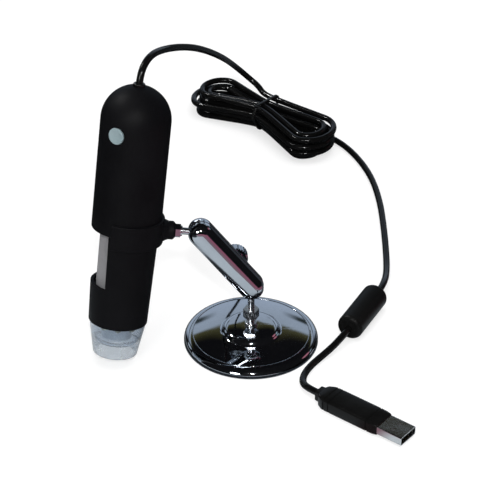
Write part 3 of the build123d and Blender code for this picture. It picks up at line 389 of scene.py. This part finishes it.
def studio_world():
    """Even light, and for metal a dark room with a pale wall behind, a beam across it and soft patches."""
    world = bpy.data.worlds.new("studio")
    scene.world = world
    world.use_nodes = True
    nodes = Nodes(world.node_tree)
    facing = nodes.add("ShaderNodeTexCoord").outputs["Generated"]
    direction = nodes.add("ShaderNodeSeparateXYZ")
    nodes.join(facing, direction.inputs[0])
    wall = nodes.ramp(
        direction.outputs["Z"],
        [
            (0.0, (0.42, 0.5, 0.6)),
            (0.3, (0.46, 0.54, 0.66)),
            (0.555, (0.42, 0.49, 0.58)),
            (0.573, (0.085, 0.08, 0.035)),
            (0.61, (0.03, 0.028, 0.013)),
            (0.64, (0.006, 0.006, 0.007)),
        ],
    )

    def patch(way, inner, outer):
        """How far a direction is within a soft disc, whose inner and outer angles are in degrees."""
        node = nodes.add("ShaderNodeVectorMath", operation="DOT_PRODUCT")
        nodes.join(facing, node.inputs[0])
        node.inputs[1].default_value = Vector(way).normalized()
        return nodes.span(node.outputs["Value"], 0, 1, turned(outer)[0], turned(inner)[0])

    behind = nodes.span(direction.outputs["Y"], 0, 1, 0.15, 0.35)
    aside = nodes.math("ABSOLUTE", direction.outputs["X"], 0.0)
    within = nodes.span(aside, 1, 0, 0.5, 0.62)
    colour = nodes.mix(nodes.math("MULTIPLY", behind, within), (0.008, 0.008, 0.009), wall)
    beam = nodes.math(
        "MULTIPLY",
        nodes.span(aside, 0, 1, 0.1, 0.18),
        nodes.math(
            "MULTIPLY",
            nodes.span(direction.outputs["Z"], 0, 1, 0.4, 0.43),
            nodes.span(direction.outputs["Z"], 1, 0, 0.46, 0.48),
        ),
    )
    colour = nodes.mix(nodes.math("MULTIPLY", beam, within), colour, (0.03, 0.04, 0.04))
    for way, inner, outer, shade in (
        ((0.85, 0.25, 0.45), 7, 9, (0.55, 0.2, 0.26)),
        ((0.9, 0.5, 0.3), 5, 8, (0.35, 0.45, 0.5)),
        ((-0.75, 0.55, 0.35), 5, 8, (0.45, 0.52, 0.6)),
        ((-0.85, 0.2, 0.5), 4, 6, (0.35, 0.4, 0.46)),
    ):
        colour = nodes.mix(patch(way, inner, outer), colour, shade)
    ways = nodes.add("ShaderNodeLightPath")
    gloss = nodes.add("ShaderNodeBackground", Strength=1.0)
    nodes.join(colour, gloss.inputs["Color"])
    plain = nodes.add("ShaderNodeBackground", Color=(1, 1, 1, 1), Strength=0.45)
    white = nodes.add("ShaderNodeBackground", Color=(1, 1, 1, 1), Strength=1.0)
    lighting = nodes.mix_shaders(ways.outputs["Is Glossy Ray"], plain, gloss)
    seen = nodes.math("MAXIMUM", ways.outputs["Is Camera Ray"], ways.outputs["Is Transmission Ray"])
    out = nodes.add("ShaderNodeOutputWorld")
    nodes.join(nodes.mix_shaders(seen, lighting, white).outputs[0], out.inputs["Surface"])


studio_world()


def area_light(name, place, target, size, power, glossy=True, diffuse=True):
    """A round light that the camera doesn't see; it may be kept out of reflections or out of plain light."""
    data = bpy.data.lights.new(name, "AREA")
    data.shape = "DISK"
    data.size = size
    data.energy = power
    light = bpy.data.objects.new(name, data)
    light.location = place
    light.rotation_euler = (Vector(target) - Vector(place)).to_track_quat("-Z", "Y").to_euler()
    light.visible_glossy = glossy
    light.visible_diffuse = diffuse
    light.visible_camera = False
    scene.collection.objects.link(light)


area_light("flash", (0.02, -0.86, 0.78), (0, 0.02, 0.05), size=0.07, power=7.0)
area_light("window", (-0.46, -0.92, 0.55), (0, 0.02, 0.05), size=0.3, power=4.0)
area_light("lamp", (-0.75, 0.42, 1.0), (0.02, 0.2, 0.02), size=0.12, power=9.0, diffuse=False)
area_light("ceiling", (0.2, 0.1, 2.2), (0, 0.1, 0), size=2.2, power=32.0, glossy=False)


# Mesh makers
weld_distance = 1e-7


def ring_faces(rings, count, closed=False):
    """Four-sided faces between rings of count points each; closed joins the last ring to the first."""
    faces = []
    for ring in range(rings if closed else rings - 1):
        first, last = ring * count, (ring + 1) % rings * count
        for step in range(count):
            other = (step + 1) % count
            faces.append((first + step, first + other, last + other, last + step))
    return faces


def ring_caps(rings, count):
    """The two faces that close the first and the last ring."""
    return tuple(range(count))[::-1], tuple(range((rings - 1) * count, rings * count))


def mesh_object(name, points, faces, material, body, sharp):
    """A mesh piece from points in millimetres, with edges that turn by more than sharp degrees kept sharp."""
    mesh = bpy.data.meshes.new(name)
    mesh.from_pydata([tuple(Vector(point) * MM) for point in points], [], faces)
    build = bmesh.new()
    build.from_mesh(mesh)
    bmesh.ops.remove_doubles(build, verts=build.verts, dist=weld_distance)
    bmesh.ops.recalc_face_normals(build, faces=build.faces)
    build.to_mesh(mesh)
    build.free()
    mesh.shade_smooth()
    mesh.set_sharp_from_angle(angle=math.radians(sharp))
    piece = bpy.data.objects.new(name, mesh)
    scene.collection.objects.link(piece)
    mesh.materials.append(material)
    if body:
        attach(piece, body)
    return piece


# The cord: arch, hank, floor run and tail, with a straight run at each fixed end. The arch's points follow
# the photograph, up to 7.2 mm from those of the part's source. The other routes are the source's own
cord_diameter = 3.5
cord_radius = cord_diameter / 2
end_run = 6.0
plug_start = Vector((32.3, -49.0, 3.5))
plug_end = Vector((76.9, -84.9, 3.5))
ferrite_in = Vector((65.1, 30.2, 6.75))
ferrite_out = Vector((49.5, -0.1, 6.75))
arch_route = [
    (-53.46, 8.8, 138.2),
    (-52.9, 9.75, 143.6),
    (-51.3, 13.0, 148.8),
    (-48.4, 20.0, 150.8),
    (-44.2, 31.0, 148.3),
    (-37.0, 52.0, 139.3),
    (-29.9, 77.0, 126.4),
    (-23.9, 106.0, 109.8),
    (-19.2, 137.0, 91.5),
    (-15.7, 168.0, 73.3),
    (-13.2, 195.0, 57.4),
    (-11.4, 212.0, 47.0),
    (-9.5, 224.6, 38.8),
    (-7.2, 233.2, 32.2),
    (-3.9, 238.8, 26.2),
    (0.4, 240.6, 21.1),
    (5.6, 237.4, 17.8),
]
floor_route = [
    (30.2, 212.3, 2.1),
    (42.7, 207.7, 1.75),
    (54.5, 196.5, 1.75),
    (64.0, 178.0, 1.75),
    (70.8, 155.0, 1.75),
    (73.6, 129.0, 1.75),
    (74.0, 105.0, 1.75),
    (73.8, 84.0, 1.75),
    (73.2, 66.0, 1.9),
    (72.0, 53.0, 3.4),
    (70.3, 43.6, 5.8),
]
tail_route = [
    (41.0, -12.2, 4.3),
    (35.0, -17.8, 2.2),
    (29.5, -24.6, 1.75),
    (25.8, -32.2, 1.75),
    (25.0, -39.5, 2.3),
]

# Hank: seven turns in four layers, with lobes that fan out from the tied waist. Each layer takes two turns,
# and its cord climbs to the next one in the last half turn
hank_turns = 7
hank_layers = 4
layer_turns = 2
climb_start = 1.5
hank_centre = Vector((9.0, 218.0, 0.0))
hank_cos, hank_sin = turned(-42.0)
hank_along = Vector((hank_cos, hank_sin, 0))
hank_sideways = Vector((-hank_sin, hank_cos, 0))
waist_pitch = 4.7
lobe_pitch = 5.8
layer_pitch = 4.1
waist_lift = 1.1
waist_half = 4.0
waist_start = 0.25
lead_step = 2.0
# Right and left lobe: place along the hank, half width inside, fan, and shift sideways
lobes = ((34.5, 9.0, -1.2, 3.5), (33.0, 8.0, -2.0, 2.5))
corner_angle = 45.0
corner_shares = (0.16, 0.22, 0.28, 0.34)


def hank_state(turn):
    """Height, lean from the middle layer, and pitches out, after some turns."""
    layer = math.floor(turn / layer_turns)
    part_turn = turn - layer_turns * layer
    wound = min(part_turn, climb_start)
    out = climb_start - wound if layer % 2 == 0 else wound
    if part_turn > climb_start:
        layer += (part_turn - climb_start) / (layer_turns - climb_start)
    middle = (hank_layers - 1) / 2
    return cord_radius + layer_pitch * (hank_layers - 1 - layer), (layer - middle) / middle, out


def waist_points(half):
    """The two points where the cord crosses the waist, at a count of half turns."""
    facing = 1 if half % 2 == 0 else -1
    height, _, out = hank_state(half / 2)
    place = waist_pitch * (out + waist_start) + (lead_step if half in (0, 2 * hank_turns) else 0)
    first, last = -waist_half, waist_half
    if half == 0:
        first = -cord_diameter
    if half == 2 * hank_turns:
        last = cord_diameter
    return [Vector((facing * x, facing * place, height + waist_lift)) for x in (first, last)]


def lobe_points(half):
    """The four corners round one lobe, and the spacing between them."""
    facing = 1 if half % 2 == 0 else -1
    place, half_width, fan, shift = lobes[half % 2]
    corners = []
    for index, share in enumerate(corner_shares):
        height, lean, out = hank_state(half / 2 + share)
        radius = half_width + lobe_pitch * out
        far = radius / math.cos(math.radians(corner_angle / 2))
        angle_cos, angle_sin = turned(corner_angle * ((len(corner_shares) - 1) / 2 - index))
        sideways = fan * lean - shift + facing * far * angle_sin
        corners.append(Vector((facing * (place + far * angle_cos), sideways, height)))
    return corners, 2 * radius * math.tan(math.radians(corner_angle / 2))


def toward(start, end, distance):
    """The point at a distance from the start on the way to the end."""
    return start + (end - start).normalized() * distance


def hank_route():
    """The hank's points, in the object's frame: sixteen to each turn."""
    points = waist_points(0)
    for half in range(2 * hank_turns):
        corners, spacing = lobe_points(half)
        following = waist_points(half + 1)
        points.append(toward(corners[0], points[-1], spacing))
        points.extend(corners)
        points.append(toward(corners[-1], following[0], spacing))
        points.extend(following)
    return [hank_centre + hank_along * p.x + hank_sideways * p.y + up * p.z for p in points]


hank_points = hank_route()
ferrite_line = (ferrite_out - ferrite_in).normalized()
plug_line = (plug_end - plug_start).normalized()
lead_route = [
    *hank_points,
    hank_points[-1] + hank_along * end_run,
    *floor_route,
    ferrite_in - ferrite_line * end_run,
    ferrite_in,
    ferrite_out,
    ferrite_out + ferrite_line * end_run,
    *tail_route,
    plug_start - plug_line * end_run,
    plug_start,
]


def spline_curve(name, points, steps):
    """A curve of one NURBS spline that is drawn along by points in millimetres."""
    curve = bpy.data.curves.new(name, "CURVE")
    curve.dimensions = "3D"
    curve.resolution_u = steps
    spline = curve.splines.new("NURBS")
    spline.points.add(len(points) - 1)
    for place, point in zip(spline.points, points):
        place.co = (*(Vector(point) * MM), 1)
    spline.order_u = 3
    spline.use_endpoint_u = True
    return curve


def curve_points(curve):
    """The points along a curve that has no bevel, in metres."""
    bare = bpy.data.objects.new("bare", curve)
    mesh = bpy.data.meshes.new_from_object(bare)
    line = np.array([v.co for v in mesh.vertices])
    bpy.data.objects.remove(bare)
    bpy.data.meshes.remove(mesh)
    return line


lead_curve = spline_curve("cord_lead", lead_route, steps=8)
lead_line = curve_points(lead_curve)
lead_curve.bevel_depth = cord_radius * MM
lead_curve.bevel_resolution = 6
lead_curve.use_fill_caps = True
lead_curve.materials.append(cord_black)
cord_lead = bpy.data.objects.new("cord_lead", lead_curve)
scene.collection.objects.link(cord_lead)
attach(cord_lead, "stand")
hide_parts("cord_hank", "cord_floor", "cord_tail")


def tube_mesh(name, line, radius, material, sides, caps=(True, True)):
    """A tube round a line of points in metres, with its rings kept square to the line."""
    line = [Vector(point) for point in line]
    points = []
    side = None
    for index, point in enumerate(line):
        ahead = line[min(index + 1, len(line) - 1)] - line[max(index - 1, 0)]
        ahead.normalize()
        if side is None:
            side = ahead.orthogonal()
        side = (side - ahead * side.dot(ahead)).normalized()
        other = ahead.cross(side)
        for step in range(sides):
            c, s = turned(360 * step / sides)
            points.append((point + (side * c + other * s) * radius * MM) / MM)
    faces = ring_faces(len(line), sides)
    faces.extend(face for face, wanted in zip(ring_caps(len(line), sides), caps) if wanted)
    return mesh_object(name, points, faces, material, None, sharp=60)


# The arch crosses every joint between the microscope and the stand, one stretch for each
arch_points = [*arch_route, hank_points[0] - hank_along * end_run, hank_points[0]]
arch_line = curve_points(spline_curve("cord_arch_line", arch_points, steps=12))
arch_along = np.concatenate([[0], np.cumsum(np.linalg.norm(np.diff(arch_line, axis=0), axis=1))])
arch_shares = (0.0, 0.11, 0.22, 0.38, 0.57, 1.0)
rounding = 1e-9
for index, (start_share, end_share) in enumerate(zip(arch_shares, arch_shares[1:])):
    first = int(np.searchsorted(arch_along, start_share * arch_along[-1]))
    last = int(np.searchsorted(arch_along, end_share * arch_along[-1] - rounding))
    stretch = arch_line[first : last + 1]
    ends = (start_share == 0, end_share == 1)
    piece = tube_mesh(
        f"cord_arch_{index + 1}", stretch, cord_radius, cord_black, sides=20, caps=ends
    )
    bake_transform(piece)
    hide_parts("cord_arch")

# Tie round the waist: a slim band on the outermost strands, with two twisted tails
tie_gap = 0.1
tie_width = 1.9
tie_thickness = 0.9
tie_corner_steps = 6
knot_way = Vector((-0.6, 0.8))
tail_radius = 0.45
twist_radius = 0.5
twist_rise = 0.27
twist_turn = 110
twist_steps = 8
tail_places = ((1.3, 2.0), (2.4, 2.2), (3.4, 1.7), (4.2, 0.9))


def waist_corner(half):
    """The place of one strand at the waist, across the hank and up."""
    place = waist_points(half)[0]
    return Vector((place.y, place.z))


def outline_round(corners, radius, steps):
    """Points and outward directions of a line that keeps a distance from a convex outline."""
    middle = sum(corners, Vector((0, 0))) / len(corners)
    line = []
    for index, corner in enumerate(corners):
        before = corner - corners[index - 1]
        after = corners[(index + 1) % len(corners)] - corner
        normals = []
        for edge in (before, after):
            normal = Vector((edge.y, -edge.x)).normalized()
            normals.append(normal if normal.dot(corner - middle) > 0 else -normal)
        for step in range(steps + 1):
            outward = (normals[0] * (steps - step) + normals[1] * step).normalized()
            line.append((corner + outward * radius, outward))
    return line


def band_round(line, profile, make_point):
    """Points and faces of a closed band whose section is a list of (along, out) places."""
    points = [make_point(place + outward * out, along) for place, outward in line for along, out in profile]
    return points, ring_faces(len(line), len(profile), closed=True)


def circle_line(radii):
    """Points and outward directions of a closed line round the origin, with a radius for each."""
    ways = [Vector(turned(360 * step / len(radii))) for step in range(len(radii))]
    return [(outward * radius, outward) for outward, radius in zip(ways, radii)]


def in_hank(along, sideways, height):
    """A place in the hank's own frame, in the object's frame."""
    return hank_centre + hank_along * along + hank_sideways * sideways + up * height


def oval(half_width, half_height, sides, power):
    """A closed section between an ellipse, with power 2, and a rectangle."""
    places = []
    for step in range(sides):
        c, s = turned(360 * step / sides)
        across_share = math.copysign(abs(c) ** (2 / power), c)
        up_share = math.copysign(abs(s) ** (2 / power), s)
        places.append((half_width * across_share, half_height * up_share))
    return places


# The half turns whose strands are outermost at the waist, in order round it
tie_corners = [waist_corner(half) for half in (13, 14, 8, 0, 1, 7)]
tie_line = outline_round(tie_corners, cord_radius + tie_gap + tie_thickness / 2, tie_corner_steps)
tie_points, tie_faces = band_round(
    tie_line,
    oval(tie_width / 2, tie_thickness / 2, sides=12, power=3.2),
    lambda place, along: in_hank(along, place.x, place.y),
)
tie_band = mesh_object("tie_band", tie_points, tie_faces, tie_black, "stand", sharp=50)
tie_knot, tie_outward = min(tie_line, key=lambda item: (item[1] - knot_way).length)
for index, lean in enumerate((-1, 1)):
    tail = []
    for step in range(twist_steps):
        c, s = turned(180 * index + twist_turn * step)
        place = tie_knot + tie_outward * twist_rise * step
        tail.append(in_hank(twist_radius * c, place.x, place.y + twist_radius * s))
    for along, out in tail_places:
        place = tie_knot + tie_outward * out
        tail.append(in_hank(lean * along, place.x, place.y))
    tail_line = curve_points(spline_curve(f"tie_tail_{index}_line", tail, steps=4))
    piece = tube_mesh(f"tie_tail_{index + 1}", tail_line, tail_radius, tie_black, sides=8)
    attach(piece, "stand")
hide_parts("hank_tie")

# Plug body: a stub at the cord, a long bevelled grip with grooves, and a short taper at the shell.
# Its sections are (distance from the cord's end, half width, half height)
plug_side = Vector((plug_line.y, -plug_line.x, 0))
plug_sides = 32
plug_squareness = 7.0
plug_sections = [
    (0.0, 2.5, 2.3),
    (0.3, 3.0, 2.8),
    (2.7, 3.2, 3.0),
    (2.9, 3.9, 3.2),
    (3.6, 4.9, 3.4),
    (6.2, 6.4, 3.5),
    (7.4, 6.6, 3.5),
    (7.5, 6.2, 3.2),
    (8.1, 6.2, 3.2),
    (8.2, 6.65, 3.5),
    (10.4, 6.7, 3.5),
    (10.5, 6.3, 3.2),
    (11.1, 6.3, 3.2),
    (11.2, 6.7, 3.5),
    (32.6, 6.7, 3.5),
    (32.7, 6.3, 3.2),
    (33.4, 6.3, 3.2),
    (33.5, 6.7, 3.5),
    (36.6, 6.65, 3.4),
    (38.6, 6.4, 3.1),
    (39.0, 6.2, 2.9),
]
plug_points = []
for distance, half_width, half_height in plug_sections:
    for side_place, up_place in oval(half_width, half_height, plug_sides, plug_squareness):
        plug_points.append(plug_start + plug_line * distance + plug_side * side_place + up * up_place)
plug_faces = ring_faces(len(plug_sections), plug_sides)
plug_faces.extend(ring_caps(len(plug_sections), plug_sides))
plug_body = mesh_object("plug_body", plug_points, plug_faces, plug_black, "stand", sharp=22)
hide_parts("plug_overmould")

# Bead round the base's plate, where the crown meets the rim
plate_bead_radius = 29.5
plate_bead_height = 4.7
plate_bead_half_height = 0.2
plate_bead_half_width = 0.26
plate_bead_steps = 160
bead_points, bead_faces = band_round(
    circle_line([plate_bead_radius] * plate_bead_steps),
    oval(plate_bead_half_height, plate_bead_half_width, sides=10, power=2.0),
    lambda place, along: Vector((place.x, place.y, plate_bead_height + along)),
)
mesh_object("plate_bead", bead_points, bead_faces, chrome, "stand", sharp=50)

# Bright beads on the arm's seam, clear of the slots for the necks
seam_reach = 6.1
seam_bead_radius = 0.27
seam_arc_steps = 8


def seam_bead(name, stops):
    """A thin bead on the seam: stops are (centre, first angle, last angle) of the arcs it joins."""
    line = []
    for centre, first_angle, last_angle in stops:
        for step in range(seam_arc_steps + 1):
            c, s = turned(first_angle + (last_angle - first_angle) * step / seam_arc_steps)
            line.append((centre + (arm_line * c + arm_side * s) * seam_reach) * MM)
    bead = tube_mesh(name, line, seam_bead_radius, chrome, sides=10)
    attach(bead, "arm")


seam_bead("seam_bead_1", [(lower_ball, 128, 90), (upper_ball, 90, 44)])
seam_bead("seam_bead_2", [(lower_ball, 246, 270), (upper_ball, 270, 284)])

# Focus ring with fine ribs all round
rib_count = 120
rib_depth = 0.3
ring_start = 36.05
ring_end = 68.9
ring_bore = 10.4
ring_radius = 12.4
ring_bevel = 0.3
rib_points, rib_faces = band_round(
    circle_line([0.0, 0.0, -rib_depth, -rib_depth] * rib_count),
    [
        (ring_start, ring_bore),
        (ring_start, ring_radius - ring_bevel),
        (ring_start + ring_bevel, ring_radius),
        (ring_end - ring_bevel, ring_radius),
        (ring_end, ring_radius - ring_bevel),
        (ring_end, ring_bore),
    ],
    lambda place, along: scope_tip + stud_line * place.x + scope_side * place.y + scope_line * along,
)
ribbed_ring = mesh_object(
    "ribbed_ring", rib_points, rib_faces, grey_plastic, "focus_ring", sharp=20
)
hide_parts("focus_ring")

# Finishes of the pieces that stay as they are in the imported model
finishes = {
    chrome: ("base_disc", "arm_front_shell", "arm_back_shell", "clamp_knob", "upper_nut"),
    stud_steel: ("base_stud", "upper_stud"),
    steel: ("base_ballast", "base_nut", "clamp_stud", "clamp_washer", "board_screws"),
    plug_steel: ("plug_shell",),
    soft_black: ("upper_casing", "lower_casing", "holder_clip"),
    satin_black: ("ring_retainer", "lens_barrel", "ferrite_choke"),
    cord_black: ("cord_grommet",),
    foot_black: ("foot_pad",),
    pale_plastic: ("led_bezel",),
    button_paint: ("snapshot_button",),
    board_green: ("led_ring_board", "sensor_board", "main_board"),
    chip_black: ("board_chips", "tact_switch", "plug_tongue"),
    brass: ("boss_insert",),
    gold: ("plug_contacts",),
    dark_glass: ("image_sensor",),
    lens_glass: ("lens_elements",),
    lamp_glass: ("leds",),
    clear_plastic: ("clear_nozzle",),
}
for material, names in finishes.items():
    for name in names:
        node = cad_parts[name]
        if not node.material_slots:
            node.data.materials.append(material)
        for place in node.material_slots:
            place.material = material

scene.view_settings.view_transform = "Standard"
